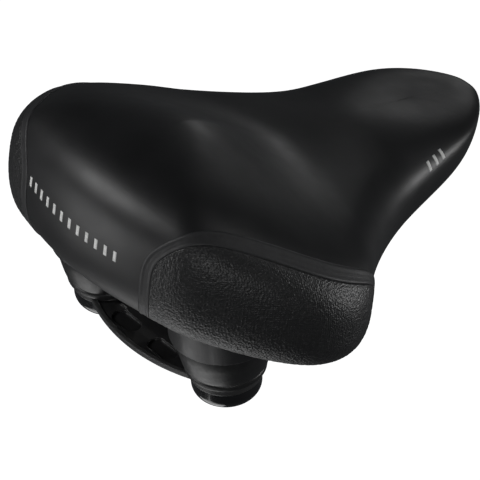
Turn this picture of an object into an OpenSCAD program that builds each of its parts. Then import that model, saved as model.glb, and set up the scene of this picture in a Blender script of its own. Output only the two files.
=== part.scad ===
// Bicycle comfort saddle carried on two rubber buffers.
// X points to the rider's right, Y to the nose and Z up. The origin lies midway between
// the rails, on their axes, in the middle of the stretch that a seatpost clamp grips.

/* [Seat] */
// Overall length of the seat
seat_len = 260; // [245:5:275]
// Overall width of the seat across its wings
seat_w = 212; // [200:2:224]
// Thickness of the outer skin
skin_t = 1.2; // [0.8:0.2:1.6]
// Depth of foam between the skin and the shell at the crown
foam_t = 26; // [20:1:30]
// Wall thickness of the moulded shell
shell_t = 3; // [2.5:0.5:4]
// Width of the shell's rim, on which the skin is stapled
rim_w = 6; // [5:0.5:7]
// Number of staples round the hem
staple_count = 26; // [16:2:32]

/* [Buffers] */
// Distance between the axes of the two buffers
buffer_gap = 90; // [86:1:94]
// Angle by which the buffers lean back from upright
buffer_tilt = 11; // [6:1:14]
// Height of the rubber between its end plates
rubber_h = 34; // [31:1:37]
// Largest radius of the rubber
rubber_r = 24; // [22:0.5:24.5]
// Radius of the cap under each buffer
cap_r = 17.5; // [15:0.5:17.5]

/* [Bridge plate] */
// Thickness of the plate
plate_t = 3; // [2.5:0.5:5]
// Radius of the round pad under each buffer
pad_r = 18; // [17.5:0.5:19]
// Number of shallow pockets between the pads
pocket_count = 2; // [0:1:2]

/* [Rails] */
// Diameter of the rail wire
rail_d = 7; // [6.8:0.1:7.4]
// Distance between the axes of the two rails
rail_gap = 44; // [42:1:46]
// Length of straight rail in front of the origin, where it can be clamped
rail_front = 30; // [26:1:32]

/* [Hidden] */
$fn = 64;

left = -1;
right = 1;
gap = 0.2;

// Heights of the seat's widest line and of its hem: [rear, rear corner, wing, waist, nose]
rear_z = [82, 55];
corner_z = [86, 52];
wing_z = [50, 35];
waist_z = [60, 40];
nose_z = [78, 54];

// Seat outline of a seat 260 long and 212 wide, as control points of a closed cubic spline from
// the rear round to the nose: [x, y, height of the widest line, height of the hem]
half_loop = [
  concat([0, -130], rear_z),
  concat([60, -115], rear_z),
  concat([70, -110], corner_z),
  concat([114, -55], wing_z),
  concat([100, -15], wing_z),
  concat([80, -5], waist_z),
  concat([45, 50], waist_z),
  concat([40, 105], nose_z),
  concat([10, 135], nose_z),
  concat([0, 135], nose_z)
];
left_half = [for (i = [len(half_loop) - 2:-1:1])
  [-half_loop[i][0], half_loop[i][1], half_loop[i][2], half_loop[i][3]]];
loop = concat(half_loop, left_half);
spans = len(loop);
steps_per_span = 4;
steps = spans * steps_per_span;
scale_x = seat_w / 212;
scale_y = seat_len / 260;

// Height of the crown over the rear, at the waist and over the nose
crown_rear = 128;
crown_waist = 92;
crown_nose = 84;
// Stretches over which the crown falls from the rear to the waist, and from there to the nose
rear_fall = [-65, 10];
nose_fall = [45, 100];
// The spine, towards which every cross-section closes
spine_rear = -60;
spine_nose = 90;
// How far the side tucks in between the widest line and the hem
tuck = 13;
// Angles below the widest line: the hem, the rows of the side, and the top of the shell's rim
hem_angle = 80;
side_angles = [80, 60, 40, 20];
rim_angle = 20;
// Fullness of the cross-section at the rear and at the nose: [sideways, upwards]
full_rear = [3.5, 3.2];
full_nose = [1.6, 3];
// Where the cross-section changes from the rear's fullness to the nose's
full_change = [-20, 60];
// Depth of foam at the tip of the nose
nose_foam_t = 9;

// Pieces under the skin start at this depth
lining = skin_t + gap;
hem_turn = lining + rim_w - 1;
// Width of the ledge on which the foam ends, and height of the rim's inner edge
ledge = 5;
flange_t = 2.2;

gel_t = 5;
gel_r = 14;
gel_at = [42, -72, 97.8];
gel_stretch = 16;
patch_t = 0.6;
patch_lift = 0.6;
// Corner patch along the outline: where it starts, peaks and ends, and how high its arch rises
patch_start = 0.72;
patch_peak = 2.8;
patch_end = 4.1;
patch_rise = 43;
patch_fall = 18;

staple_w = 10;
staple_leg = 3.6;
staple_wire = 0.6;
staple_inset = lining + rim_w / 2 - 1;

// Buffers: foot of each axis on the bridge plate, then heights along the axis
buffer_y = -57.5;
buffer_z = 6.5;
end_plate_t = 1.4;
cup_roof = rubber_h + 2 * end_plate_t;
cup_roof_t = 6;
cup_mouth = cup_roof - 11.2;
cup_r = 27;
cup_bore_r = 25;
cup_h = 70;
lip_r = 0.8;
well_r = 22;
fairing_l = 30;
fairing_lift = 6;
fairing_t = 3;
fairing_end_r = 9;
stud_r = 4;
insert_r = 6.5;
upper_plate_r = 22;
lower_plate_r = 17;
rubber_low_r = 20.4;
washer_t = 1;
nut_h = 4;
nut_r = 7.2;
stud_drop = plate_t + washer_t + nut_h + 0.4;
cap_h = 12;
cap_wall = 1.5;
cap_round = 7;
cap_bore_r = cap_r - 4.5;

// Bridge plate, drawn flat with the buffers' axes on its X axis
bow_r = 100;
bow_rear = 24;
bow_reach = 40;
bridge_front = 8;
rim_h = 0.8;
plate_rim_w = 2.2;
pocket_l = 18;
pocket_w = 9;
pocket_pitch = 27.5;
pocket_y = -14;
pocket_floor = 0.8;

// Rails: the tails in the plate's sockets, the clamped straights, and the rise to the nose
tail_r = 3;
lap = 0.05;
bend_d = rail_d - 2 * lap;
rail_rear = -64;
rail_start = -43;
socket_r = 5.3;
socket_rear = -66;
socket_front = rail_start;
rail_screw_y = -55;
rise_r = 25;
rise_slope = 55;
toe_in = 3;
slope_l = 38;
turn_r = 9;
slope_dir = [-sin(toe_in), cos(toe_in) * cos(rise_slope), cos(toe_in) * sin(rise_slope)];
rise_bend = acos(slope_dir[1]);
rise_roll = asin(slope_dir[0] / sin(rise_bend));
rise_end = [rail_gap / 2, rail_front, 0] + rise_r
  * [(1 - cos(rise_bend)) * sin(rise_roll), sin(rise_bend), (1 - cos(rise_bend)) * cos(rise_roll)];
turn_bend = 90 - toe_in;
turn_dir = (-[1, 0, 0] - sin(toe_in) * slope_dir) / cos(toe_in);
level_dir = (cos(rise_bend) * slope_dir - [0, 1, 0]) / sin(rise_bend);
bar_end = rise_end + slope_dir * slope_l + turn_r
  * (sin(turn_bend) * slope_dir + (1 - cos(turn_bend)) * turn_dir);
// Directions of the two bends on the way from the bar back to the tail, measured round the wire
turn_roll = 90 + rise_slope;
level_roll = atan2(
  level_dir * [0, sin(rise_slope), -cos(rise_slope)],
  level_dir * [-sin(turn_bend), -cos(turn_bend) * cos(rise_slope), -cos(turn_bend) * sin(rise_slope)]);

bar_play = 0.05;
block_w = 18;
block_l = 26;
clip_h = 7;
clip_screw_ys = [-8.5, 8.5];
clip_screw_r = 1.6;
rib_x = 7;
rib_t = 3;
rib_from = -100;
rib_to = 70;
rib_low = 58;
rib_h = 60;
block_h = 60;

function spline(a, b, c, d, t) =
  (pow(1 - t, 3) * a + (3 * t * t * t - 6 * t * t + 4) * b
    + (-3 * t * t * t + 3 * t * t + 3 * t + 1) * c + t * t * t * d) / 6;

function station(s) =
  let (i = floor(s), t = s - i)
  spline(loop[(i + spans - 1) % spans], loop[i % spans], loop[(i + 1) % spans], loop[(i + 2) % spans], t);

function edge_xy(s) = let (p = station(s)) [p[0] * scale_x, p[1] * scale_y];

y_rear = edge_xy(0)[1];
y_nose = edge_xy(spans / 2)[1];

function spine_xy(s) = [0, (spine_rear + (station(s)[1] * scale_y - y_rear) / (y_nose - y_rear)
  * (spine_nose - spine_rear))];

function smooth(u) = let (v = min(max(u, 0), 1)) v * v * (3 - 2 * v);

// Share of the way along a stretch [from, to], eased at both ends
function along(y, stretch) = smooth((y - stretch[0]) / (stretch[1] - stretch[0]));

function crown_z(y) = crown_rear - (crown_rear - crown_waist) * along(y, rear_fall)
  - (crown_waist - crown_nose) * along(y, nose_fall);

function fullness(y) =
  let (k = along(y, full_change))
  full_rear * (1 - k) + full_nose * k;

function foam_depth(y) = foam_t + (nose_foam_t - foam_t) * smooth((y + 10) / 100);

// Point on the side, angle degrees below the widest line, moved inwards by inset
function side_point(s, angle, inset) =
  let (edge = edge_xy(s), spine = spine_xy(s), inwards = (spine - edge) / norm(spine - edge),
    p = station(s), xy = edge + inwards * (inset + tuck * (1 - cos(angle))))
  [xy[0], xy[1], p[2] - (p[2] - p[3]) * sin(angle) / sin(hem_angle)];

// Point on the dome that rises from the side at the given angle, lowered by lower at its foot,
// to drop below the crown line, and with foam = 1 to the underside of the foam
function dome_point(s, rise, inset, drop, foam = 0, angle = 0, lower = 0) =
  let (foot = side_point(s, angle, inset), spine = spine_xy(s), f = fullness(station(s)[1]),
    c = pow(cos(rise), 2 / f[0]), z0 = foot[2] - lower,
    top = crown_z(spine[1]) - drop - foam * foam_depth(spine[1]),
    xy = spine + ([foot[0], foot[1]] - spine) * c)
  [xy[0], xy[1], z0 + (top - z0) * pow(sin(rise), 2 / f[1])];

rises = [0, 15, 30, 45, 60, 74, 86];

function side_ring(angle, inset, lift = 0) =
  [for (i = [0:steps - 1]) side_point(i / steps_per_span, angle, inset) + [0, 0, lift]];

function dome_rings(inset, drop, foam = 0, angle = 0, lower = 0) =
  [for (r = rises) [for (i = [0:steps - 1])
    dome_point(i / steps_per_span, r, inset, drop, foam, angle, lower)]];

function flatten(lists) = [for (l = lists) for (p = l) p];

// Faces of a stack of rings, closed over the crown by a strip between its two halves
function skin_faces(rings, first) =
  let (top = first + (rings - 1) * steps)
  concat(
    [for (r = [0:rings - 2]) for (i = [0:steps - 1])
      let (a = first + r * steps, j = (i + 1) % steps) each [
        [a + i, a + i + steps, a + j + steps],
        [a + i, a + j + steps, a + j]]],
    [for (i = [0:steps / 2 - 1])
      let (j = (steps - i) % steps, k = steps - i - 1) each [
        if (i > 0) [top + i, top + j, top + k],
        if (i < steps / 2 - 1) [top + i, top + k, top + i + 1]]]);

function reversed(faces) = [for (f = faces) [f[2], f[1], f[0]]];

// Closed solid between an outer and an inner stack of rings
module layer(outer, inner) {
  no = len(outer);
  ni = len(inner);
  first_inner = no * steps;
  rim = [for (i = [0:steps - 1]) let (j = (i + 1) % steps) each [
    [i, j, first_inner + j],
    [i, first_inner + j, first_inner + i]]];
  polyhedron(points = flatten(concat(outer, inner)),
    faces = concat(skin_faces(no, 0), reversed(skin_faces(ni, first_inner)), rim));
}

// Closed solid under a stack of rings, closed underneath by a strip
module mound(rings) {
  n = len(rings);
  floor_faces = [for (i = [0:steps / 2 - 1])
    let (j = (steps - i) % steps, k = steps - i - 1) each [
      if (i > 0) [i, k, j],
      if (i < steps / 2 - 1) [i, i + 1, k]]];
  polyhedron(points = flatten(rings), faces = concat(skin_faces(n, 0), floor_faces));
}

// Point on the seat's surface: v is minus the angle on the side, or the rise on the dome
function surface_point(s, v, depth) =
  v < 0 ? side_point(s, -v, depth) : dome_point(s, v, depth, depth);

// Closed curved slab between two depths under the surface; columns are lists of [s, v]
module slab(columns, depth_out, depth_in) {
  m = len(columns);
  n = len(columns[0]);
  outer = [for (c = columns) for (q = c) surface_point(q[0], q[1], depth_out)];
  inner = [for (c = columns) for (q = c) surface_point(q[0], q[1], depth_in)];
  k = m * n;
  sheet = [for (i = [0:m - 2]) for (j = [0:n - 2]) let (a = i * n + j) each [
    [a, a + n + 1, a + n],
    [a, a + 1, a + n + 1]]];
  border = concat(
    [for (j = [0:n - 2]) j],
    [for (i = [0:m - 2]) i * n + n - 1],
    [for (j = [0:n - 2]) m * n - 1 - j],
    [for (i = [0:m - 2]) (m - 1 - i) * n]);
  b = len(border);
  walls = [for (i = [0:b - 1]) let (p = border[i], q = border[(i + 1) % b]) each [
    [p, k + p, k + q],
    [p, k + q, q]]];
  under = [for (f = sheet) [f[2] + k, f[1] + k, f[0] + k]];
  polyhedron(points = concat(outer, inner), faces = concat(sheet, under, walls));
}

module on_left() {
  mirror([1, 0, 0]) children();
}

// --- Seat -------------------------------------------------------------------------------

module cover() {
  color("#18181a") layer(
    concat([side_ring(hem_angle, hem_turn)], [for (a = side_angles) side_ring(a, 0)], dome_rings(0, 0)),
    concat([side_ring(hem_angle, hem_turn, skin_t)],
      [for (a = side_angles) side_ring(a, skin_t, a == hem_angle ? skin_t : 0)],
      dome_rings(skin_t, skin_t)));
}

module foam_pad() {
  color("#d9c98a") difference() {
    layer(
      concat([side_ring(rim_angle, lining, gap)], dome_rings(lining, lining)),
      dome_rings(lining + ledge - gap, skin_t - gap, 1, rim_angle, -gap));
    gel_shape(gap);
    on_left() gel_shape(gap);
  }
}

// Gel insert under a sit bone, foamed into the pad
module gel_shape(grow) {
  translate(gel_at - [0, 0, grow]) linear_extrude(gel_t + 2 * grow) union() {
    for (y = [-gel_stretch / 2, gel_stretch / 2]) translate([0, y]) circle(gel_r + grow);
    square([2 * (gel_r + grow), gel_stretch], center = true);
  }
}

module gel_pad() {
  color("#4a90c8") gel_shape(0);
}

// Corner patch: an arch of grained skin over the rear corner and the wing
function patch_arch(s) =
  s < patch_peak ? patch_rise * sqrt(1 - pow((patch_peak - s) / (patch_peak - patch_start), 2))
    : patch_rise - patch_fall * smooth((s - patch_peak) / (patch_end - patch_peak));

patch_rows = [for (a = side_angles) -a];
patch_columns = [for (i = [ceil(patch_start * steps_per_span):floor(patch_end * steps_per_span)])
  let (s = i / steps_per_span)
  concat([for (v = patch_rows) [s, v]], [for (k = [0, 0.36, 0.72, 1]) [s, patch_arch(s) * k]])];

module corner_patch() {
  color("#2a292c") slab(patch_columns, -patch_lift - patch_t, -patch_lift);
}

module shell_dome() {
  layer(
    concat([side_ring(hem_angle, lining, lining), side_ring(rim_angle, lining)],
      dome_rings(lining + ledge, skin_t, 1, rim_angle)),
    concat([for (lift = [0, flange_t]) side_ring(hem_angle, lining + rim_w, lining + lift)],
      dome_rings(lining + ledge + shell_t, skin_t + shell_t, 1, rim_angle, shell_t)));
}

// Everything under the middle of the shell's wall, used to trim what hangs from it
module under_dome() {
  half = shell_t / 2;
  mound(concat(
    [side_ring(rim_angle, lining + ledge + half, -90)],
    dome_rings(lining + ledge + half, skin_t + half, 1, rim_angle, half)));
}

module at_buffer(side) {
  translate([side * buffer_gap / 2, buffer_y, buffer_z]) rotate([buffer_tilt, 0, 0]) children();
}

// Outside of a cup, with its lower lip rounded
module cup_outside() {
  rotate_extrude() union() {
    translate([0, cup_mouth + lip_r]) square([cup_r, cup_h]);
    translate([0, cup_mouth]) square([cup_r - lip_r, lip_r]);
    translate([cup_r - lip_r, cup_mouth + lip_r]) circle(lip_r);
  }
}

// Outline of the fairing beside a cup, drawn in by inset and ended at front
module fairing_outline(inset, front) {
  wide_r = cup_r - 3 - inset;
  end_r = fairing_end_r - inset;
  polygon(concat(
    [[0, front], [0, -wide_r]],
    [for (a = [260:-10:180]) [-fairing_l, 0] + end_r * [cos(a), sin(a)]],
    [[-fairing_l - end_r, front]]));
}

// Fairing: a wall that tapers from a cup towards the middle of the seat, open to the front
module fairing() {
  translate([0, 0, cup_mouth + fairing_lift]) linear_extrude(cup_h) difference() {
    fairing_outline(0, 0);
    fairing_outline(fairing_t, 1);
  }
}

module cup_openings() {
  translate([0, 0, cup_mouth - 1]) cylinder(r = cup_bore_r, h = cup_roof - cup_mouth + 1);
  translate([0, 0, cup_roof - 1]) cylinder(r = insert_r + 0.05, h = cup_roof_t + 2);
  translate([0, 0, cup_roof + cup_roof_t]) cylinder(r = well_r, h = cup_h);
}

module at_bar() {
  translate([0, bar_end[1], bar_end[2]]) children();
}

module bar_groove() {
  rotate([0, 90, 0]) cylinder(r = rail_d / 2 + bar_play, h = 40, center = true);
}

module nose_block() {
  at_bar() translate([-block_w / 2, -block_l / 2, 0]) cube([block_w, block_l, block_h]);
}

module shell_ribs() {
  for (x = [-rib_x, rib_x])
    translate([x - rib_t / 2, rib_from, rib_low]) cube([rib_t, rib_to - rib_from, rib_h]);
}

module base_shell() {
  color("#3a3a3d") difference() {
    union() {
      shell_dome();
      intersection() {
        under_dome();
        union() {
          for (side = [left, right]) at_buffer(side) {
            cup_outside();
            mirror([side == left ? 1 : 0, 0, 0]) fairing();
          }
          nose_block();
          shell_ribs();
        }
      }
    }
    for (side = [left, right]) at_buffer(side) cup_openings();
    at_bar() {
      bar_groove();
      for (y = clip_screw_ys) translate([0, y, 0]) cylinder(r = clip_screw_r, h = 9);
    }
  }
}

module nose_clip() {
  color("#2c2c2e") at_bar() difference() {
    translate([-block_w / 2, -block_l / 2, -clip_h]) cube([block_w, block_l, clip_h - gap / 2]);
    bar_groove();
    for (y = clip_screw_ys) translate([0, y, -clip_h - 1]) cylinder(r = clip_screw_r + 0.1, h = clip_h + 2);
  }
}

module nose_clip_screws() {
  color("#b9b9bd") at_bar() for (y = clip_screw_ys) translate([0, y, -clip_h]) difference() {
    union() {
      cylinder(r = clip_screw_r - 0.02, h = clip_h + 8);
      translate([0, 0, -1.6]) cylinder(r = 2.6, h = 1.6);
    }
    translate([0, 0, -2]) cylinder(r = 1.2, h = 1.4, $fn = 6);
  }
}

// One staple: a crown bar flat against the hem, and two legs into the rim
module staple() {
  translate([-staple_w / 2, -staple_wire, -staple_wire]) cube([staple_w, 2 * staple_wire, staple_wire]);
  for (x = [-staple_w / 2, staple_w / 2 - staple_wire])
    translate([x, -staple_wire, -staple_wire]) cube([staple_wire, 2 * staple_wire, staple_leg]);
}

// Staples stand at even distances along the hem
hem_line = side_ring(hem_angle, staple_inset);
hem_runs = [for (i = 0, d = 0; i <= steps;
  d = d + norm(hem_line[(i + 1) % steps] - hem_line[i % steps]), i = i + 1) d];

function hem_s(run) =
  let (i = [for (k = [0:steps - 1]) if (hem_runs[k] <= run && run < hem_runs[k + 1]) k][0])
  (i + (run - hem_runs[i]) / (hem_runs[i + 1] - hem_runs[i])) / steps_per_span;

module cover_staples() {
  color("#b9b9bd") for (i = [0:staple_count - 1])
    let (s = hem_s((i + 0.5) * hem_runs[steps] / staple_count),
      p = side_point(s, hem_angle, staple_inset),
      q = side_point(s + 0.1, hem_angle, staple_inset) - side_point(s - 0.1, hem_angle, staple_inset))
    translate(p) rotate([0, -atan2(q[2], norm([q[0], q[1]])), atan2(q[1], q[0])]) staple();
}

module shell_insert() {
  color("#c9a85a") difference() {
    union() {
      translate([0, 0, cup_roof]) cylinder(r = insert_r, h = cup_roof_t);
      translate([0, 0, cup_roof + cup_roof_t]) cylinder(r = insert_r + 2, h = 1.6);
    }
    translate([0, 0, cup_roof - 1]) cylinder(r = stud_r + 0.05, h = 12);
  }
}

module upper_stud() {
  color("#b9b9bd") {
    translate([0, 0, cup_roof - end_plate_t]) cylinder(r = upper_plate_r, h = end_plate_t);
    translate([0, 0, cup_roof - end_plate_t]) cylinder(r = stud_r, h = end_plate_t + cup_roof_t + 4);
  }
}

// --- Chassis ----------------------------------------------------------------------------

// Rubber buffer: a foot ring, a groove, then a bulge that goes up into the cup
module elastomer() {
  z0 = end_plate_t;
  z1 = cup_roof - end_plate_t;
  color("#1f1f20") rotate_extrude() polygon([
    [0, z0], [rubber_low_r - 1.5, z0], [rubber_low_r, z0 + 1.2], [rubber_low_r, z0 + 3.2],
    [rubber_low_r - 0.4, z0 + 3.8], [rubber_low_r + 0.8, z0 + 5.2], [rubber_r - 1, z0 + 14],
    [rubber_r, cup_mouth - 4], [rubber_r, cup_mouth + 1], [rubber_r - 1.5, cup_mouth + 4],
    [upper_plate_r, z1], [0, z1]]);
}

module lower_stud() {
  color("#b9b9bd") {
    cylinder(r = lower_plate_r, h = end_plate_t);
    translate([0, 0, -stud_drop]) cylinder(r = stud_r, h = stud_drop + end_plate_t);
  }
}

module lower_washers() {
  color("#b9b9bd") for (side = [left, right]) at_buffer(side)
    translate([0, 0, -plate_t - washer_t]) difference() {
      cylinder(r = 8, h = washer_t);
      translate([0, 0, -1]) cylinder(r = stud_r + 0.2, h = washer_t + 2);
    }
}

module lower_nuts() {
  color("#b9b9bd") for (side = [left, right]) at_buffer(side)
    translate([0, 0, -plate_t - washer_t - nut_h]) difference() {
      cylinder(r = nut_r, h = nut_h, $fn = 6);
      translate([0, 0, -1]) cylinder(r = stud_r + 0.05, h = nut_h + 2);
    }
}

// Glossy cap: a short upright wall under the plate, then a bowl with a flat foot
module cap_outside() {
  intersection() {
    translate([0, -cap_h]) square([cap_r, cap_h]);
    union() {
      translate([0, -cap_h]) square([cap_r - cap_round, cap_h]);
      translate([0, -cap_h + cap_round]) square([cap_r, cap_h]);
      translate([cap_r - cap_round, -cap_h + cap_round]) circle(cap_round);
    }
  }
}

module cap() {
  color("#141416") translate([0, 0, -plate_t]) rotate_extrude() difference() {
    cap_outside();
    translate([-1, -cap_h + cap_wall]) square([1 + cap_bore_r, cap_h]);
  }
}

// Web between the two pads, seen from above, drawn in by inset
module web(inset) {
  bow = bow_r - inset;
  span = asin(bow_reach / bow_r);
  front = bridge_front - inset;
  polygon(concat(
    [for (k = [-12:12]) [0, bow_r - bow_rear] + bow * [sin(k / 12 * span), -cos(k / 12 * span)]],
    [[bow_reach, 0], [bow_reach, front], [-bow_reach, front], [-bow_reach, 0]]));
}

module pads() {
  for (x = [-buffer_gap / 2, buffer_gap / 2]) translate([x, 0]) circle(pad_r);
}

module pockets() {
  straight = pocket_l - pocket_w;
  for (i = [0:pocket_count - 1]) translate([(i - (pocket_count - 1) / 2) * pocket_pitch, pocket_y]) {
    for (x = [-straight / 2, straight / 2]) translate([x, 0]) circle(pocket_w / 2);
    square([straight, pocket_w], center = true);
  }
}

module rail_sockets(r, from_y, to_y) {
  for (side = [left, right])
    translate([side * rail_gap / 2, from_y, 0]) rotate([-90, 0, 0]) cylinder(r = r, h = to_y - from_y);
}

// Plate with a low rim round its web, and blind pockets
module plate() {
  translate([0, buffer_y, buffer_z]) rotate([buffer_tilt, 0, 0]) difference() {
    translate([0, 0, -plate_t]) linear_extrude(plate_t) union() {
      web(0);
      pads();
    }
    translate([0, 0, -rim_h]) linear_extrude(plate_t) difference() {
      web(plate_rim_w);
      pads();
    }
    translate([0, 0, pocket_floor - plate_t]) linear_extrude(plate_t) pockets();
  }
}

module bridge_plate() {
  color("#161617") difference() {
    union() {
      plate();
      rail_sockets(socket_r, socket_rear, socket_front);
    }
    for (side = [left, right]) at_buffer(side)
      translate([0, 0, -plate_t - 1]) cylinder(r = stud_r + 0.2, h = plate_t + 2);
    rail_sockets(tail_r + 0.05, rail_rear, socket_front + 1);
    for (side = [left, right])
      translate([side * rail_gap / 2, rail_screw_y, -socket_r - 1]) cylinder(r = 1.6, h = socket_r);
  }
}

module rail_screws() {
  color("#b9b9bd") for (side = [left, right])
    translate([side * rail_gap / 2, rail_screw_y, -socket_r]) difference() {
      cylinder(r = 1.58, h = socket_r - tail_r - 0.02);
      translate([0, 0, -1]) cylinder(r = 0.9, h = 2, $fn = 6);
    }
}

// Straight stretch of wire, lapping a little way into the bends, which are a hair thinner
module straight(length, r = rail_d / 2, after = lap) {
  translate([0, -lap, 0]) rotate([-90, 0, 0]) cylinder(r = r, h = lap + length + after);
}

// Bend of the wire about a radius, through an angle, towards a direction rolled from up
module bend(radius, angle, roll) {
  rotate([0, roll, 0]) translate([0, 0, radius]) rotate([0, 90, 0])
    rotate_extrude(angle = angle) translate([radius, 0]) circle(d = bend_d);
}

module after_bend(radius, angle, roll) {
  rotate([0, roll, 0]) translate([0, radius * sin(angle), radius * (1 - cos(angle))])
    rotate([angle, 0, 0]) children();
}

// Right half of the wire back from the bar: turn, slope, bend, clamped straight and tail
module half_wire() {
  at_bar() rotate([0, 0, -90]) translate([0, bar_end[0], 0]) {
    bend(turn_r, turn_bend, turn_roll);
    after_bend(turn_r, turn_bend, turn_roll) {
      straight(slope_l);
      translate([0, slope_l, 0]) {
        bend(rise_r, rise_bend, level_roll);
        after_bend(rise_r, rise_bend, level_roll) {
          straight(rail_front - rail_start, after = 0);
          translate([0, rail_front - rail_start, 0]) straight(rail_start - rail_rear, tail_r, 0);
        }
      }
    }
  }
}

module rail_wire() {
  color("#8d8f94") {
    at_bar() rotate([0, 0, -90]) translate([0, -bar_end[0], 0]) straight(2 * bar_end[0]);
    half_wire();
    on_left() half_wire();
  }
}

// --- Nodes ------------------------------------------------------------------------------

cover();
on_left() corner_patch();  // corner_patch_left
corner_patch();  // corner_patch_right
foam_pad();
on_left() gel_pad();  // gel_pad_left
gel_pad();  // gel_pad_right
base_shell();
cover_staples();
at_buffer(left) shell_insert();  // shell_insert_left
at_buffer(right) shell_insert();  // shell_insert_right
at_buffer(left) upper_stud();  // upper_stud_left
at_buffer(right) upper_stud();  // upper_stud_right
nose_clip();
nose_clip_screws();
rail_wire();
bridge_plate();
at_buffer(left) elastomer();  // elastomer_left
at_buffer(right) elastomer();  // elastomer_right
at_buffer(left) lower_stud();  // lower_stud_left
at_buffer(right) lower_stud();  // lower_stud_right
lower_washers();
lower_nuts();
at_buffer(left) cap();  // cap_left
at_buffer(right) cap();  // cap_right
rail_screws();
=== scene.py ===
"""Looks of the comfort saddle: skin, corner patches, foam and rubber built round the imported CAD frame."""

import math

import bmesh
import bpy
from mathutils import Matrix, Vector, noise
from mathutils.bvhtree import BVHTree

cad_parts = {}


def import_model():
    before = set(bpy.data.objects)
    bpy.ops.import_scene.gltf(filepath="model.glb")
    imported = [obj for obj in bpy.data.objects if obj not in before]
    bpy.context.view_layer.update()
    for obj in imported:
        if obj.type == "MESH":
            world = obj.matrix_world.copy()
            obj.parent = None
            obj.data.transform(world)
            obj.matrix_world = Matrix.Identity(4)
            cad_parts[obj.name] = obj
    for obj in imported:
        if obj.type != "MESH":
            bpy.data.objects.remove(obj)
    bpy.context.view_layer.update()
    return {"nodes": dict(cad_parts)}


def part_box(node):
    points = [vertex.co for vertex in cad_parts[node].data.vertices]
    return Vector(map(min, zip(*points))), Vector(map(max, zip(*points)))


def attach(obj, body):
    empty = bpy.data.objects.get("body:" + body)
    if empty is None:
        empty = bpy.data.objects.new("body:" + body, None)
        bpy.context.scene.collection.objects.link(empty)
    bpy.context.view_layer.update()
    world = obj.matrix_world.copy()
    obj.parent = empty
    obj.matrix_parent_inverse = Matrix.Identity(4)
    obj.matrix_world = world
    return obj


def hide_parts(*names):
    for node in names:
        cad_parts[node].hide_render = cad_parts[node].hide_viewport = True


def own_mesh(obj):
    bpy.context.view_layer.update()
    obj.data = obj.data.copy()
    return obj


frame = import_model()

MM = 0.001

# --- Shape of the seat, in millimetres, as in part.scad -----------------------------------

# Heights of the seat's widest line and of its hem
REAR_Z = (82, 55)
CORNER_Z = (86, 52)
WING_Z = (50, 35)
WAIST_Z = (60, 40)
NOSE_Z = (78, 54)

# Control points of the outline, from the rear round to the nose
HALF_LOOP = [
    (0, -130, *REAR_Z),
    (60, -115, *REAR_Z),
    (70, -110, *CORNER_Z),
    (114, -55, *WING_Z),
    (100, -15, *WING_Z),
    (80, -5, *WAIST_Z),
    (45, 50, *WAIST_Z),
    (40, 105, *NOSE_Z),
    (10, 135, *NOSE_Z),
    (0, 135, *NOSE_Z),
]
LOOP = HALF_LOOP + [(-x, y, z, hem) for x, y, z, hem in HALF_LOOP[-2:0:-1]]
SPANS = len(LOOP)
CROWN_REAR, CROWN_WAIST, CROWN_NOSE = 128, 92, 84
REAR_FALL = (-65, 10)
NOSE_FALL = (45, 100)
SPINE_REAR, SPINE_NOSE = -60, 90
TUCK = 13
HEM_ANGLE = 80
FULL_REAR, FULL_NOSE = (3.5, 3.2), (1.6, 3)
FULL_CHANGE = (-20, 60)
FOAM_T, NOSE_FOAM_T = 26, 9
FOAM_THINS = (-10, 90)
SKIN_T = 1.2
LINING = SKIN_T + 0.2
HEM_TURN = LINING + 5
LEDGE = 5
RIM_ANGLE = 20
COLUMNS = 288
SIDES = (("left", -1), ("right", 1))

# Buffers
BUFFER_X = 45
BUFFER_Y = -57.5
BUFFER_Z = 6.5
BUFFER_TILT = 11


def sin(degrees):
    return math.sin(math.radians(degrees))


def cos(degrees):
    return math.cos(math.radians(degrees))


def spline(a, b, c, d, t):
    return ((1 - t) ** 3 * a + (3 * t**3 - 6 * t * t + 4) * b
            + (-3 * t**3 + 3 * t * t + 3 * t + 1) * c + t**3 * d) / 6


def station(s):
    i = math.floor(s)
    around = [LOOP[(i + k) % SPANS] for k in (-1, 0, 1, 2)]
    return [spline(*(p[k] for p in around), s - i) for k in range(4)]


Y_REAR = station(0)[1]
Y_NOSE = station(SPANS / 2)[1]


def smooth(u):
    v = min(max(u, 0), 1)
    return v * v * (3 - 2 * v)


def along(y, stretch):
    """Share of the way along a stretch, eased at both ends."""
    return smooth((y - stretch[0]) / (stretch[1] - stretch[0]))


def spine_y(p):
    return SPINE_REAR + (p[1] - Y_REAR) / (Y_NOSE - Y_REAR) * (SPINE_NOSE - SPINE_REAR)


def crown_z(y):
    return (CROWN_REAR - (CROWN_REAR - CROWN_WAIST) * along(y, REAR_FALL)
            - (CROWN_WAIST - CROWN_NOSE) * along(y, NOSE_FALL))


def fullness(y):
    k = along(y, FULL_CHANGE)
    return [r * (1 - k) + n * k for r, n in zip(FULL_REAR, FULL_NOSE)]


def foam_depth(y):
    return FOAM_T + (NOSE_FOAM_T - FOAM_T) * along(y, FOAM_THINS)


def side(s, angle, inset=0.0, lift=0.0):
    """Point on the side, angle degrees below the widest line, moved inwards by inset."""
    p = station(s)
    spine = Vector((0, spine_y(p)))
    inwards = (spine - Vector(p[:2])).normalized()
    xy = Vector(p[:2]) + inwards * (inset + TUCK * (1 - cos(angle)))
    return Vector((xy.x, xy.y, p[2] - (p[2] - p[3]) * sin(angle) / sin(HEM_ANGLE) + lift))


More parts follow.
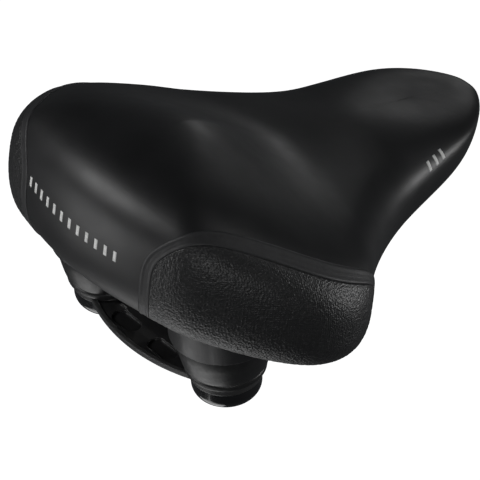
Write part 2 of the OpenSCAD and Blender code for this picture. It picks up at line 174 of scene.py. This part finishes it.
def dome(s, rise, inset=0.0, drop=0.0, foam=0, angle=0):
    """Point on the dome that closes over the seat, rise degrees up from the side at angle."""
    p = station(s)
    foot = side(s, angle, inset)
    wide, high = fullness(p[1])
    across = max(cos(rise), 0) ** (2 / wide)
    y = spine_y(p)
    top = crown_z(y) - drop - foam * foam_depth(y)
    return Vector((foot.x * across, y + (foot.y - y) * across,
                   foot.z + (top - foot.z) * sin(rise) ** (2 / high)))


def surface(s, q):
    """Point on the skin at height q: -1 at the hem, 0 at the widest line and 1 at the crown."""
    if q < 0:
        return side(s, math.degrees(math.asin(min(-q * sin(HEM_ANGLE), 1))))
    high = fullness(station(s)[1])[1]
    return dome(s, math.degrees(math.asin(min(q, 1) ** (high / 2))))


def lifted(s, q, height):
    """Point that stands height proud of the skin."""
    here = surface(s, q)
    forwards = surface(s + 0.01, q) - surface(s - 0.01, q)
    up = surface(s, q + 0.005) - surface(s, q - 0.005)
    return here + forwards.cross(up).normalized() * height


# --- Mesh tools ---------------------------------------------------------------------------


def add_mesh(name, points, faces, material, body):
    """A smooth, closed mesh from points in millimetres, riding on a body."""
    mesh = bpy.data.meshes.new(name)
    mesh.from_pydata([p * MM for p in points], [], faces)
    bm = bmesh.new()
    bm.from_mesh(mesh)
    bmesh.ops.recalc_face_normals(bm, faces=bm.faces)
    bm.to_mesh(mesh)
    bm.free()
    mesh.shade_smooth()
    mesh.materials.append(material)
    made = bpy.data.objects.new(name, mesh)
    bpy.context.scene.collection.objects.link(made)
    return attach(made, body)


def grid_faces(rows, columns, first=0, closed=False):
    """Quads of a grid of points numbered row by row."""
    last = columns if closed else columns - 1
    return [(first + r * columns + c, first + r * columns + (c + 1) % columns,
             first + (r + 1) * columns + (c + 1) % columns, first + (r + 1) * columns + c)
            for r in range(rows - 1) for c in range(last)]


def slab(front, back):
    """Points and faces of a closed slab between two grids of the same size."""
    rows, columns = len(front), len(front[0])
    count = rows * columns
    points = [p for row in front for p in row] + [p for row in back for p in row]
    faces = grid_faces(rows, columns) + [tuple(reversed(f)) for f in grid_faces(rows, columns, count)]
    rim = [c for c in range(columns - 1)]
    rim += [r * columns + columns - 1 for r in range(rows - 1)]
    rim += [count - 1 - c for c in range(columns - 1)]
    rim += [(rows - 1 - r) * columns for r in range(rows - 1)]
    faces += [(a, b, b + count, a + count) for a, b in zip(rim, rim[1:] + rim[:1])]
    return points, faces


def closed_dome(rings):
    """Points and faces of rings round the seat, welded along the spine after the last ring."""
    n = len(rings[0])
    points = [p for ring in rings[:-1] for p in ring] + rings[-1][:n // 2 + 1]
    faces = grid_faces(len(rings) - 1, n, closed=True)
    below = (len(rings) - 2) * n
    spine = (len(rings) - 1) * n
    faces += [(below + i, below + (i + 1) % n, spine + min(i + 1, n - i - 1), spine + min(i, n - i))
              for i in range(n)]
    return points, faces


def layer(outer, inner):
    """Points and faces of a closed layer between two domes, joined along their first rings."""
    points, faces = closed_dome(outer)
    inner_points, inner_faces = closed_dome(inner)
    k, n = len(points), len(outer[0])
    faces += [tuple(i + k for i in reversed(f)) for f in inner_faces]
    faces += [(i, i + k, (i + 1) % n + k, (i + 1) % n) for i in range(n)]
    return points + inner_points, faces


# Shares of the way out from the spine where the crown's easing starts, and where it is full
EASE_FROM, EASE_TO = 0.75, 0.45
# How far round a point the mean height is taken, and the most it may be as a share of the half width
EASE_REACH = 18
EASE_SHARE = 0.32
EASE_CIRCLES = 3
ABOVE_SEAT = 300
LOWEST_ANGLE = 40
TREE_RINGS = 30


def eased(rings, tree):
    """Softens the crown of a stack of rings towards the mean height of the skin round each point."""
    spans = []
    for i in range(COLUMNS):
        here = station(i * SPANS / COLUMNS)
        spine = Vector((0, spine_y(here)))
        spans.append((spine, (Vector(here[:2]) - spine).length))
    made = []
    for points in rings:
        row = []
        for p, (spine, half_width) in zip(points, spans):
            share = (Vector(p[:2]) - spine).length / half_width
            weight = smooth((EASE_FROM - share) / (EASE_FROM - EASE_TO))
            reach = min(EASE_REACH, EASE_SHARE * half_width)
            row.append(p + Vector((0, 0, weight * rise_to_mean(tree, p, reach))) if weight else p)
        made.append(row)
    return made


def rise_to_mean(tree, p, reach):
    """Mean height of the skin within reach of a point, less the height at the point itself."""
    steps = (0.01, *range(1, EASE_CIRCLES + 1))
    circles = [(reach * k / EASE_CIRCLES, a) for k in steps for a in range(5, 365, 45)]
    places = [Vector((p.x + r * cos(a), p.y + r * sin(a), ABOVE_SEAT)) for r, a in circles]
    hits = [tree.ray_cast(place, Vector((0, 0, -1)))[0] for place in places]
    heights = [hit.z for hit in hits if hit is not None]
    return sum(heights) / len(heights) - heights[0]


def ring(point, *args):
    """One point for each column, once round the seat."""
    return [point(i * SPANS / COLUMNS, *args) for i in range(COLUMNS)]


# Powers that bring the dome's rings closer together near the side and near the crown
SIDE_CROWDING, CROWN_CROWDING = 1.6, 1.8


def rises(count):
    """Angles up the dome whose points lie evenly along its section."""
    shares = [k / count for k in range(count + 1)]
    return [90 * t**SIDE_CROWDING / (t**SIDE_CROWDING + (1 - t) ** CROWN_CROWDING) for t in shares]


def skin_tree():
    """The skin above its lower edge, to take heights from."""
    rings = [ring(side, LOWEST_ANGLE)] + [ring(dome, r) for r in rises(TREE_RINGS)]
    return BVHTree.FromPolygons(*closed_dome(rings))


def lathe(profile, segments=96):
    """Points and faces of a closed solid turned round Z from a profile of (radius, height)."""
    points = [Vector((r * cos(360 * k / segments), r * sin(360 * k / segments), z))
              for r, z in profile for k in range(segments)]
    faces = grid_faces(len(profile), segments, closed=True)
    low, high = len(points), len(points) + 1
    points += [Vector((0, 0, profile[0][1])), Vector((0, 0, profile[-1][1]))]
    top = (len(profile) - 1) * segments
    for k in range(segments):
        faces.append((low, (k + 1) % segments, k))
        faces.append((high, top + k, top + (k + 1) % segments))
    return points, faces


def through(points, per_span):
    """Smooth curve through points, as tuples."""
    ends = [points[0]] + list(points) + [points[-1]]
    made = []
    for a, b, c, d in zip(ends, ends[1:], ends[2:], ends[3:]):
        for k in range(per_span):
            t = k / per_span
            made.append(tuple(
                0.5 * (2 * q + (r - p) * t + (2 * p - 5 * q + 4 * r - w) * t * t
                       + (3 * q - p - 3 * r + w) * t**3)
                for p, q, r, w in zip(a, b, c, d)))
    return made + [tuple(points[-1])]


def at_buffer(sign):
    """Where a buffer stands: its foot, leaning back."""
    return (Matrix.Translation((sign * BUFFER_X, BUFFER_Y, BUFFER_Z))
            @ Matrix.Rotation(math.radians(BUFFER_TILT), 4, "X"))


# --- Materials ----------------------------------------------------------------------------


class Shader:
    """A node material whose textures follow the piece's own metres."""

    def __init__(self, name):
        self.material = bpy.data.materials.new(name)
        self.material.use_nodes = True
        self.tree = self.material.node_tree
        self.main = self.tree.nodes["Principled BSDF"]
        self.place = self.tree.nodes.new("ShaderNodeTexCoord").outputs["Object"]
        self.height = None

    def node(self, kind, **inputs):
        made = self.tree.nodes.new(kind)
        for key, value in inputs.items():
            self.set(made.inputs[key.replace("_", " ")], value)
        return made

    def set(self, socket, value):
        if isinstance(value, bpy.types.NodeSocket):
            self.tree.links.new(value, socket)
        else:
            socket.default_value = value

    def noise(self, size, detail=3.0, roughness=0.5):
        made = self.node("ShaderNodeTexNoise", Vector=self.place, Scale=1 / (size * MM),
                         Detail=detail, Roughness=roughness)
        return made.outputs["Fac"]

    def cells(self, size, feature="SMOOTH_F1", randomness=1.0):
        made = self.tree.nodes.new("ShaderNodeTexVoronoi")
        made.feature = feature
        made.inputs["Randomness"].default_value = randomness
        self.set(made.inputs["Vector"], self.place)
        self.set(made.inputs["Scale"], 1 / (size * MM))
        return made.outputs["Distance"]

    def ramp(self, value, low, high, start=0.3, end=0.7):
        made = self.node("ShaderNodeMapRange", Value=value, From_Min=start, From_Max=end,
                         To_Min=low, To_Max=high)
        return made.outputs["Result"]

    def mix(self, factor, low, high):
        made = self.tree.nodes.new("ShaderNodeMix")
        made.data_type = "RGBA"
        self.set(made.inputs["Factor"], factor)
        self.set(made.inputs["A"], low)
        self.set(made.inputs["B"], high)
        return made.outputs["Result"]

    def bump(self, value, depth):
        """Adds relief of that many millimetres on top of the relief so far."""
        made = self.node("ShaderNodeBump", Height=value, Distance=depth * MM, Strength=1.0)
        if self.height is not None:
            self.set(made.inputs["Normal"], self.height)
        self.height = made.outputs["Normal"]

    def round_edges(self, radius):
        """Catches light on the edges as a small radius would."""
        made = self.tree.nodes.new("ShaderNodeBevel")
        made.samples = 4
        self.set(made.inputs["Radius"], radius * MM)
        self.height = made.outputs["Normal"]

    def worn(self, colour, worn_colour, amount):
        """Colour that wears lighter along the edges that stand out."""
        edge = self.tree.nodes.new("ShaderNodeNewGeometry").outputs["Pointiness"]
        return self.mix(self.ramp(edge, 0.0, amount, 0.5, 0.6), colour, worn_colour)

    def done(self, colour, roughness, **inputs):
        self.set(self.main.inputs["Base Color"], colour)
        self.set(self.main.inputs["Roughness"], roughness)
        for key, value in inputs.items():
            self.set(self.main.inputs[key.replace("_", " ")], value)
        if self.height is not None:
            self.set(self.main.inputs["Normal"], self.height)
        return self.material


def grey(value, blue=1.0):
    return (value, value, value * blue, 1)


def skin_material():
    m = Shader("moulded_skin")
    m.bump(m.noise(6, 2), 0.05)
    m.bump(m.cells(0.55), 0.012)
    m.bump(m.noise(0.25, 2), 0.008)
    colour = m.mix(m.ramp(m.noise(30, 4), 0, 1), grey(0.0075, 1.06), grey(0.0115, 1.08))
    return m.done(m.worn(colour, grey(0.02, 1.05), 0.5), m.ramp(m.noise(14, 5), 0.40, 0.47))


def pebble_material():
    m = Shader("pebbled_skin")
    m.bump(m.cells(1.1, randomness=0.5), -0.38)
    m.bump(m.noise(0.35, 2, 0.5), 0.03)
    colour = m.mix(m.ramp(m.noise(1.6, 3), 0, 1), grey(0.010, 1.03), grey(0.020, 1.03))
    return m.done(colour, m.ramp(m.noise(1.1, 3), 0.38, 0.5))


def band_material():
    m = Shader("grained_band")
    m.bump(m.cells(0.7), -0.06)
    m.bump(m.noise(0.4, 3), 0.04)
    colour = m.mix(m.ramp(m.noise(2, 4), 0, 1), grey(0.016, 1.05), grey(0.024, 1.06))
    return m.done(m.worn(colour, grey(0.04, 1.05), 0.6), m.ramp(m.noise(3, 4), 0.48, 0.58))


def print_material():
    m = Shader("light_print")
    m.bump(m.noise(0.4, 3), 0.01)
    colour = m.mix(m.ramp(m.noise(0.9, 5), 0, 1, 0.25, 0.5), grey(0.5), grey(0.78, 0.98))
    return m.done(colour, m.ramp(m.noise(1.5, 3), 0.42, 0.55))


def shell_material():
    m = Shader("moulded_shell")
    m.round_edges(0.35)
    m.bump(m.noise(0.5, 3), 0.03)
    m.bump(m.cells(0.8), 0.015)
    colour = m.mix(m.ramp(m.noise(18, 4), 0, 1), grey(0.014, 1.06), grey(0.021, 1.06))
    return m.done(m.worn(colour, grey(0.05, 1.03), 0.6), m.ramp(m.noise(8, 4), 0.38, 0.50))


def rubber_material():
    m = Shader("buffer_rubber")
    m.bump(m.noise(1.2, 4), 0.03)
    m.bump(m.noise(0.3, 2), 0.012)
    colour = m.mix(m.ramp(m.noise(7, 5), 0, 1), grey(0.008, 1.02), grey(0.014, 1.02))
    return m.done(m.worn(colour, grey(0.03), 0.6), m.ramp(m.noise(4, 4), 0.34, 0.46))


def cap_material():
    m = Shader("gloss_cap")
    m.round_edges(0.8)
    m.bump(m.noise(5, 2), 0.01)
    colour = m.mix(m.ramp(m.noise(10, 3), 0, 1), grey(0.007, 1.1), grey(0.010, 1.1))
    return m.done(colour, m.ramp(m.noise(3, 6, 0.7), 0.10, 0.2), Coat_Weight=0.3, Coat_Roughness=0.08)


def plate_material():
    m = Shader("coated_plate")
    m.round_edges(0.9)
    m.bump(m.noise(1.5, 2), 0.02)
    m.bump(m.cells(0.7), 0.008)
    colour = m.mix(m.ramp(m.noise(12, 4), 0, 1), grey(0.009, 1.04), grey(0.014, 1.04))
    return m.done(m.worn(colour, grey(0.06), 0.5), m.ramp(m.noise(4, 5), 0.28, 0.42))


def wire_material():
    m = Shader("coated_wire")
    m.bump(m.noise(1.1, 2), 0.015)
    colour = m.mix(m.ramp(m.noise(9, 4), 0, 1), grey(0.011, 1.04), grey(0.018, 1.04))
    return m.done(m.worn(colour, grey(0.12), 0.5), m.ramp(m.noise(3, 5), 0.24, 0.38), Coat_Weight=0.2)


def zinc_material():
    m = Shader("zinc_steel")
    m.round_edges(0.15)
    m.bump(m.noise(0.35, 4), 0.01)
    crystals = m.ramp(m.cells(1.6, "F1"), 0, 1, 0.1, 0.7)
    colour = m.mix(crystals, (0.52, 0.53, 0.55, 1), (0.66, 0.66, 0.65, 1))
    return m.done(colour, m.ramp(m.noise(1.3, 5), 0.26, 0.46), Metallic=1.0)


def brass_material():
    m = Shader("brass_insert")
    m.round_edges(0.2)
    m.bump(m.noise(0.4, 3), 0.01)
    colour = m.mix(m.ramp(m.noise(3, 5), 0, 1), (0.48, 0.33, 0.11, 1), (0.62, 0.46, 0.19, 1))
    return m.done(colour, m.ramp(m.noise(2, 4), 0.25, 0.45), Metallic=1.0)


def foam_material():
    m = Shader("moulded_foam")
    m.bump(m.cells(0.8, "F1"), -0.3)
    m.bump(m.noise(4, 4), 0.2)
    colour = m.mix(m.ramp(m.noise(6, 5), 0, 1), (0.60, 0.50, 0.24, 1), (0.72, 0.62, 0.36, 1))
    return m.done(colour, m.ramp(m.cells(0.8, "F1"), 0.95, 0.8), Subsurface_Weight=0.15)


def gel_material():
    m = Shader("soft_gel")
    m.bump(m.noise(5, 3), 0.15)
    colour = m.mix(m.ramp(m.noise(4, 4), 0, 1), (0.05, 0.22, 0.55, 1), (0.10, 0.34, 0.66, 1))
    return m.done(colour, m.ramp(m.noise(2, 3), 0.14, 0.26), Transmission_Weight=0.35, IOR=1.4)


# --- Pieces -------------------------------------------------------------------------------

# The hem turned under the rim, as (inset, lift), from its cut edge out to the fold
HEM_FOLD = [(HEM_TURN, 0), (4.4, 0), (2.8, 0), (1.6, 0.03), (0.8, 0.2), (0.25, 0.55)]
HEM_INSIDE = 3
SIDE_ANGLES = range(72, 0, -6)
INSIDE_ANGLES = range(66, 0, -12)
SKIN_RINGS = 40
LINING_RINGS = 16
CLEARANCE = 0.2


def cover(tree):
    outer = [ring(side, HEM_ANGLE, inset, lift) for inset, lift in HEM_FOLD]
    outer += [ring(side, a) for a in SIDE_ANGLES]
    outer += eased([ring(dome, r) for r in rises(SKIN_RINGS)], tree)
    inner = [ring(side, HEM_ANGLE, inset, SKIN_T) for inset in (HEM_TURN, HEM_INSIDE)]
    inner += [ring(side, a, SKIN_T) for a in INSIDE_ANGLES]
    inner += eased([ring(dome, r, SKIN_T, SKIN_T) for r in rises(LINING_RINGS)], tree)
    points, faces = layer(outer, inner)
    made = add_mesh("seat_skin", points, faces, skin_material(), "seat")
    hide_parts("cover")


def foam(tree):
    outer = [ring(side, RIM_ANGLE, LINING, CLEARANCE)]
    outer += eased([ring(dome, r, LINING, LINING) for r in rises(LINING_RINGS)], tree)
    inset, drop = LINING + LEDGE - CLEARANCE, SKIN_T - CLEARANCE
    inner = [ring(dome, r, inset, drop, 1, RIM_ANGLE) for r in rises(LINING_RINGS)]
    points, faces = layer(outer, inner)
    made = add_mesh("seat_foam", points, faces, foam_material(), "seat")
    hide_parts("foam_pad")


PILLOW_ROWS = 14
PILLOW_SIDES = 64
PILLOW_RIM = 0.35
PILLOW_CORNERS = 0.8


def pillow(centre, size):
    """Points and faces of a closed pillow: flat, with rounded rims and slightly square corners."""
    def rounded(share):
        return math.copysign(abs(share) ** PILLOW_CORNERS, share)

    points = []
    for r in range(1, PILLOW_ROWS):
        z = -cos(180 * r / PILLOW_ROWS)
        wide = sin(180 * r / PILLOW_ROWS) ** PILLOW_RIM
        for k in range(PILLOW_SIDES):
            a = 360 * k / PILLOW_SIDES
            x, y = rounded(cos(a)), rounded(sin(a))
            points.append(centre + Vector((x * wide * size.x, y * wide * size.y, z * size.z)))
    faces = grid_faces(PILLOW_ROWS - 1, PILLOW_SIDES, closed=True)
    top = (PILLOW_ROWS - 2) * PILLOW_SIDES
    faces += [tuple(reversed(range(PILLOW_SIDES))), tuple(top + k for k in range(PILLOW_SIDES))]
    return points, faces


def gel_pads():
    """Gel pillows where the CAD pads lie."""
    material = gel_material()
    for name, _ in SIDES:
        low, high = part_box("gel_pad_" + name)
        points, faces = pillow((low + high) / 2 / MM, (high - low) / 2 / MM)
        made = add_mesh("gel_pillow_" + name, points, faces, material, "seat")
        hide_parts("gel_pad_" + name)


# Edges of the corner patch's band: where each arch starts and ends along the outline,
# and how many degrees it rises
BAND_OUTSIDE = (0.77, 4.5, 43)
BAND_INSIDE = (0.92, 4.33, 32.5)
ARCH_POWER = 1.2
ARCH_STEPS = 60
LEG_STEPS = 24
PATCH_HEM = -80

# The band's section: its floor, its bulge, and a bead near each edge, placed in shares of its width
BAND_STEPS = 10
BAND_FLOOR = 0.2
BAND_BULGE = 0.12
BAND_SUNK = -0.4
BEAD = 0.5
BEAD_AT = 0.14
BEAD_HALF_WIDTH = 0.13

# The pebbled field: its height off the skin, and the spacing, relief and reach of its pebbles
FIELD_ROWS, FIELD_COLUMNS = 160, 290
FIELD_LIFT = 0.35
FIELD_SUNK = -0.3
PEBBLE = 1.6
PEBBLE_RELIEF = 0.14
PEBBLE_REACH = 0.62


def height_of(degrees):
    """The q of a point that many degrees above or below the widest line."""
    if degrees < 0:
        return -sin(-degrees) / sin(HEM_ANGLE)
    return sin(degrees) ** (2 / FULL_REAR[1])


def patch_edge(start, end, rise):
    """Edge of the band as (s, q): up from the hem, over nearly an ellipse, and down again."""
    middle, half = (start + end) / 2, (end - start) / 2
    leg = [PATCH_HEM * (1 - k / LEG_STEPS) for k in range(LEG_STEPS)]
    turns = [180 * k / ARCH_STEPS for k in range(ARCH_STEPS + 1)]
    arch = [(middle - half * cos(a), rise * max(sin(a), 0) ** ARCH_POWER) for a in turns]
    points = [(start, v) for v in leg] + arch + [(end, v) for v in reversed(leg)]
    return [(s, height_of(v)) for s, v in points]


def band_height(w):
    """Beads along both edges of the band and a shallow floor between them."""
    bead = max(0, 1 - ((min(w, 1 - w) - BEAD_AT) / BEAD_HALF_WIDTH) ** 2)
    return BAND_FLOOR + (BEAD - BAND_FLOOR) * bead + BAND_BULGE * math.sin(math.pi * w)


def pebble(p):
    """Height of the round pebble nearest to a point."""
    near = noise.voronoi(p / PEBBLE)[0][0]
    return PEBBLE_RELIEF * max(0, 1 - (near / PEBBLE_REACH) ** 2)


def mirrored(grid, sign):
    return [[Vector((sign * p.x, p.y, p.z)) for p in row] for row in grid]


def patch_band(outer, inner):
    """The band's face and back, as grids of points from its outer edge to its inner one."""
    front, back = [], []
    steps = [k / BAND_STEPS for k in range(BAND_STEPS + 1)]
    for a, b in zip(outer, inner):
        at = [(a[0] + (b[0] - a[0]) * w, a[1] + (b[1] - a[1]) * w) for w in steps]
        front.append([lifted(s, q, band_height(w)) for (s, q), w in zip(at, steps)])
        back.append([lifted(s, q, BAND_SUNK) for s, q in at])
    return front, back


def patch_field(inner):
    """The field's face and back, as grids of points that fill the inner edge's arch to the hem."""
    last = len(inner) - 1
    corner, far_corner = LEG_STEPS, LEG_STEPS + ARCH_STEPS

    def on_edge(start, end, t):
        at = start + (end - start) * t
        k = min(int(at), last - 1)
        return Vector(inner[k]).lerp(Vector(inner[k + 1]), at - k)

    feet = Vector(inner[0]), Vector(inner[last])
    tops = Vector(inner[corner]), Vector(inner[far_corner])
    front, back = [], []
    for r in range(FIELD_ROWS + 1):
        v = r / FIELD_ROWS
        near, far = on_edge(0, corner, v), on_edge(last, far_corner, v)
        at = []
        for c in range(FIELD_COLUMNS + 1):
            u = c / FIELD_COLUMNS
            foot, top = feet[0].lerp(feet[1], u), on_edge(corner, far_corner, u)
            at.append(near.lerp(far, u) + foot.lerp(top, v) - foot.lerp(tops[0].lerp(tops[1], u), v))
        front.append([lifted(s, q, FIELD_LIFT + pebble(surface(s, q))) for s, q in at])
        back.append([lifted(s, q, FIELD_SUNK) for s, q in at])
    return front, back


def corner_patches():
    band, pebbled = band_material(), pebble_material()
    outer, inner = patch_edge(*BAND_OUTSIDE), patch_edge(*BAND_INSIDE)
    shapes = [("patch_band_", band, patch_band(outer, inner)),
              ("patch_field_", pebbled, patch_field(inner))]
    for side_name, sign in SIDES:
        for name, material, (front, back) in shapes:
            points, faces = slab(mirrored(front, sign), mirrored(back, sign))
            made = add_mesh(name + side_name, points, faces, material, "seat")
            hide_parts("corner_patch_" + side_name)


# The printed bars: their size, the height of their face and back, and their grid
BAR_LENGTH, BAR_WIDTH = 5.5, 2.0
BAR_HEIGHTS = (0.09, -0.1)
BAR_ROWS, BAR_COLUMNS = 8, 3


def print_bar(s, q, height):
    """Grid of points over one bar about a place on the skin."""
    across = (surface(s + 0.1, q) - surface(s - 0.1, q)).length / 0.2
    up = (surface(s, q + 0.05) - surface(s, q - 0.05)).length / 0.1
    along_s = [s + BAR_WIDTH * (i / BAR_COLUMNS - 0.5) / across for i in range(BAR_COLUMNS + 1)]
    along_q = [q + BAR_LENGTH * (j / BAR_ROWS - 0.5) / up for j in range(BAR_ROWS + 1)]
    return [[lifted(a, b, height) for a in along_s] for b in along_q]


def print_bars(name, start, end, count):
    """A plain row of short light bars, all alike, from start to end as (place, degrees)."""
    points, faces = [], []
    for k in range(count):
        t = (k + 0.5) / count
        s = start[0] + (end[0] - start[0]) * t
        q = height_of(start[1] + (end[1] - start[1]) * t)
        more, more_faces = slab(*(print_bar(s, q, height) for height in BAR_HEIGHTS))
        faces += [tuple(i + len(points) for i in f) for f in more_faces]
        points += more
    made = add_mesh(name, points, faces, print_material(), "seat")


# Rubber: radius and height along the buffer's axis, with a foot ring, a groove and a bulge
RUBBER = [(18.6, 1.4), (19.8, 1.6), (20.3, 2.4), (20.4, 4.2), (20.2, 5.0), (20.1, 5.3), (20.6, 5.8),
          (21.3, 7.2), (22.2, 10.6), (23.1, 15.0), (23.8, 19.0), (24.0, 23.0), (23.8, 26.0),
          (22.3, 30.2), (21.8, 35.3)]


def rubbers():
    material = rubber_material()
    points, faces = lathe(through(RUBBER, 4))
    for name, sign in SIDES:
        place = at_buffer(sign)
        made = add_mesh("buffer_rubber_" + name, [place @ p for p in points], faces, material, "chassis")
        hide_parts("elastomer_" + name)
        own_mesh(made)


SHARP_EDGE = 32
WELD_GAP = 0.002


def smooth_by_angle():
    """Node group that shades a CAD mesh smooth except along its real edges."""
    group = bpy.data.node_groups.new("smooth_by_angle", "GeometryNodeTree")
    group.interface.new_socket("Geometry", in_out="INPUT", socket_type="NodeSocketGeometry")
    group.interface.new_socket("Geometry", in_out="OUTPUT", socket_type="NodeSocketGeometry")
    new, link = group.nodes.new, group.links.new
    source, result = new("NodeGroupInput"), new("NodeGroupOutput")
    angle, soft = new("GeometryNodeInputMeshEdgeAngle"), new("FunctionNodeCompare")
    faces, edges = new("GeometryNodeSetShadeSmooth"), new("GeometryNodeSetShadeSmooth")
    edges.domain = "EDGE"
    soft.operation = "LESS_THAN"
    soft.inputs["B"].default_value = math.radians(SHARP_EDGE)
    link(angle.outputs["Unsigned Angle"], soft.inputs["A"])
    link(source.outputs["Geometry"], faces.inputs["Geometry"])
    link(faces.outputs["Geometry"], edges.inputs["Geometry"])
    link(soft.outputs["Result"], edges.inputs["Shade Smooth"])
    link(edges.outputs["Geometry"], result.inputs["Geometry"])
    return group


def dress_cad_nodes():
    """Gives each CAD node that still shows its material: zinc steel, unless it is listed here."""
    zinc, brass, cap_gloss, shell = zinc_material(), brass_material(), cap_material(), shell_material()
    finishes = {
        "base_shell": shell,
        "nose_clip": shell,
        "rail_wire": wire_material(),
        "bridge_plate": plate_material(),
        "cap_left": cap_gloss,
        "cap_right": cap_gloss,
        "shell_insert_left": brass,
        "shell_insert_right": brass,
    }
    group = smooth_by_angle()
    for name, node in frame["nodes"].items():
        if node.hide_render:
            continue
        node.data.materials.clear()
        node.data.materials.append(finishes.get(name, zinc))
        weld = node.modifiers.new("weld", "WELD")
        weld.merge_threshold = WELD_GAP * MM
        node.modifiers.new("smooth", "NODES").node_group = group


# --- Stage --------------------------------------------------------------------------------

VIEW_AZIMUTH = 44.5
VIEW_ELEVATION = 33.7
VIEW_ROLL = 7.5
VIEW_DISTANCE = 2.18
VIEW_LENS = 333
VIEW_CENTRE = Vector((0, 0, 0.069))
VIEW_OFF_CENTRE = (-0.0135, -0.0295)
FLOOR_Z = -2.5
ROOM_HALF = 6
LIGHT_AIM = Vector((0, -0.01, 0.06))


def camera():
    back = Vector((sin(VIEW_AZIMUTH) * cos(VIEW_ELEVATION), -cos(VIEW_AZIMUTH) * cos(VIEW_ELEVATION),
                   sin(VIEW_ELEVATION)))
    level = Vector((cos(VIEW_AZIMUTH), sin(VIEW_AZIMUTH), 0))
    upright = back.cross(level)
    right = level * cos(VIEW_ROLL) + upright * sin(VIEW_ROLL)
    up = upright * cos(VIEW_ROLL) - level * sin(VIEW_ROLL)
    place = VIEW_CENTRE + back * VIEW_DISTANCE
    aim = VIEW_CENTRE + right * VIEW_OFF_CENTRE[0] + up * VIEW_OFF_CENTRE[1]
    towards = (place - aim).normalized()
    across = (right - towards * right.dot(towards)).normalized()
    turned = Matrix((across, towards.cross(across), towards)).transposed()
    made = bpy.data.objects.new("photo_camera", bpy.data.cameras.new("photo_camera"))
    made.data.sensor_width = 36
    made.data.lens = VIEW_LENS
    made.data.clip_end = 50
    made.matrix_world = Matrix.Translation(place) @ turned.to_4x4()
    bpy.context.scene.collection.objects.link(made)
    bpy.context.scene.camera = made


def area_light(name, direction, distance, size, power):
    """A soft box of a width and height, so far from the seat in a direction and facing it."""
    light = bpy.data.lights.new(name, "AREA")
    light.shape = "RECTANGLE"
    light.size, light.size_y = size
    light.energy = power
    made = bpy.data.objects.new(name, light)
    towards = Vector(direction).normalized()
    made.location = LIGHT_AIM + towards * distance
    made.rotation_euler = towards.to_track_quat("Z", "Y").to_euler()
    made.visible_camera = False
    bpy.context.scene.collection.objects.link(made)


def lights():
    """Soft boxes: two behind the seat, two in front of it, one beside it, one above and one below."""
    area_light("rear_edge", (-0.43, -0.76, 0.46), 1.3, (0.42, 0.42), 6.3)
    area_light("rear_face", (-0.44, -0.84, -0.33), 1.3, (0.6, 0.5), 3.2)
    area_light("front_right", (0.62, 0.78, 0.04), 1.3, (0.40, 0.40), 5)
    area_light("front_left", (-0.50, 0.82, 0.27), 1.5, (0.30, 0.30), 0.6)
    area_light("near_side", (0.78, -0.60, 0.10), 1.4, (0.35, 0.35), 2.6)
    area_light("near_above", (0.50, 0.40, 0.77), 1.4, (0.3, 0.3), 1.2)
    area_light("below", (-0.15, -0.20, -0.97), 1.3, (0.8, 0.8), 3.5)


def room():
    """A pale floor, far walls and a ceiling. They show in the view and throw no light on the seat."""
    m = Shader("pale_floor")
    m.bump(m.noise(40, 3), 0.02)
    shade = m.mix(m.ramp(m.noise(400, 2), 0, 1), grey(0.93), grey(0.96))
    material = m.done(shade, m.ramp(m.noise(300, 2), 0.8, 0.9), Emission_Color=shade, Emission_Strength=1.1)
    ends = (-ROOM_HALF, ROOM_HALF)
    corners = [(x, y, z) for z in (FLOOR_Z, ROOM_HALF) for y in ends for x in ends]
    walls = [(0, 1, 5, 4), (1, 3, 7, 5), (3, 2, 6, 7), (2, 0, 4, 6), (4, 5, 7, 6)]
    for name, faces in (("floor", [(0, 1, 3, 2)]), ("backdrop", walls)):
        mesh = bpy.data.meshes.new(name)
        mesh.from_pydata(corners, [], faces)
        mesh.materials.append(material)
        made = bpy.data.objects.new(name, mesh)
        made.visible_glossy = False
        made.visible_diffuse = False
        bpy.context.scene.collection.objects.link(made)


def world():
    made = bpy.data.worlds.new("studio")
    bpy.context.scene.world = made
    made.use_nodes = True
    background = made.node_tree.nodes["Background"]
    background.inputs["Color"].default_value = (0.9, 0.95, 1, 1)
    background.inputs["Strength"].default_value = 0.05
    bpy.context.scene.view_settings.view_transform = "Standard"


skin_heights = skin_tree()
cover(skin_heights)
foam(skin_heights)
gel_pads()
corner_patches()
print_bars("print_bars_rear", (17.25, 3), (18.52, 1), 12)
print_bars("print_bars_nose", (6.3, 13), (6.62, 14.5), 3)
rubbers()
dress_cad_nodes()
room()
lights()
world()
camera()
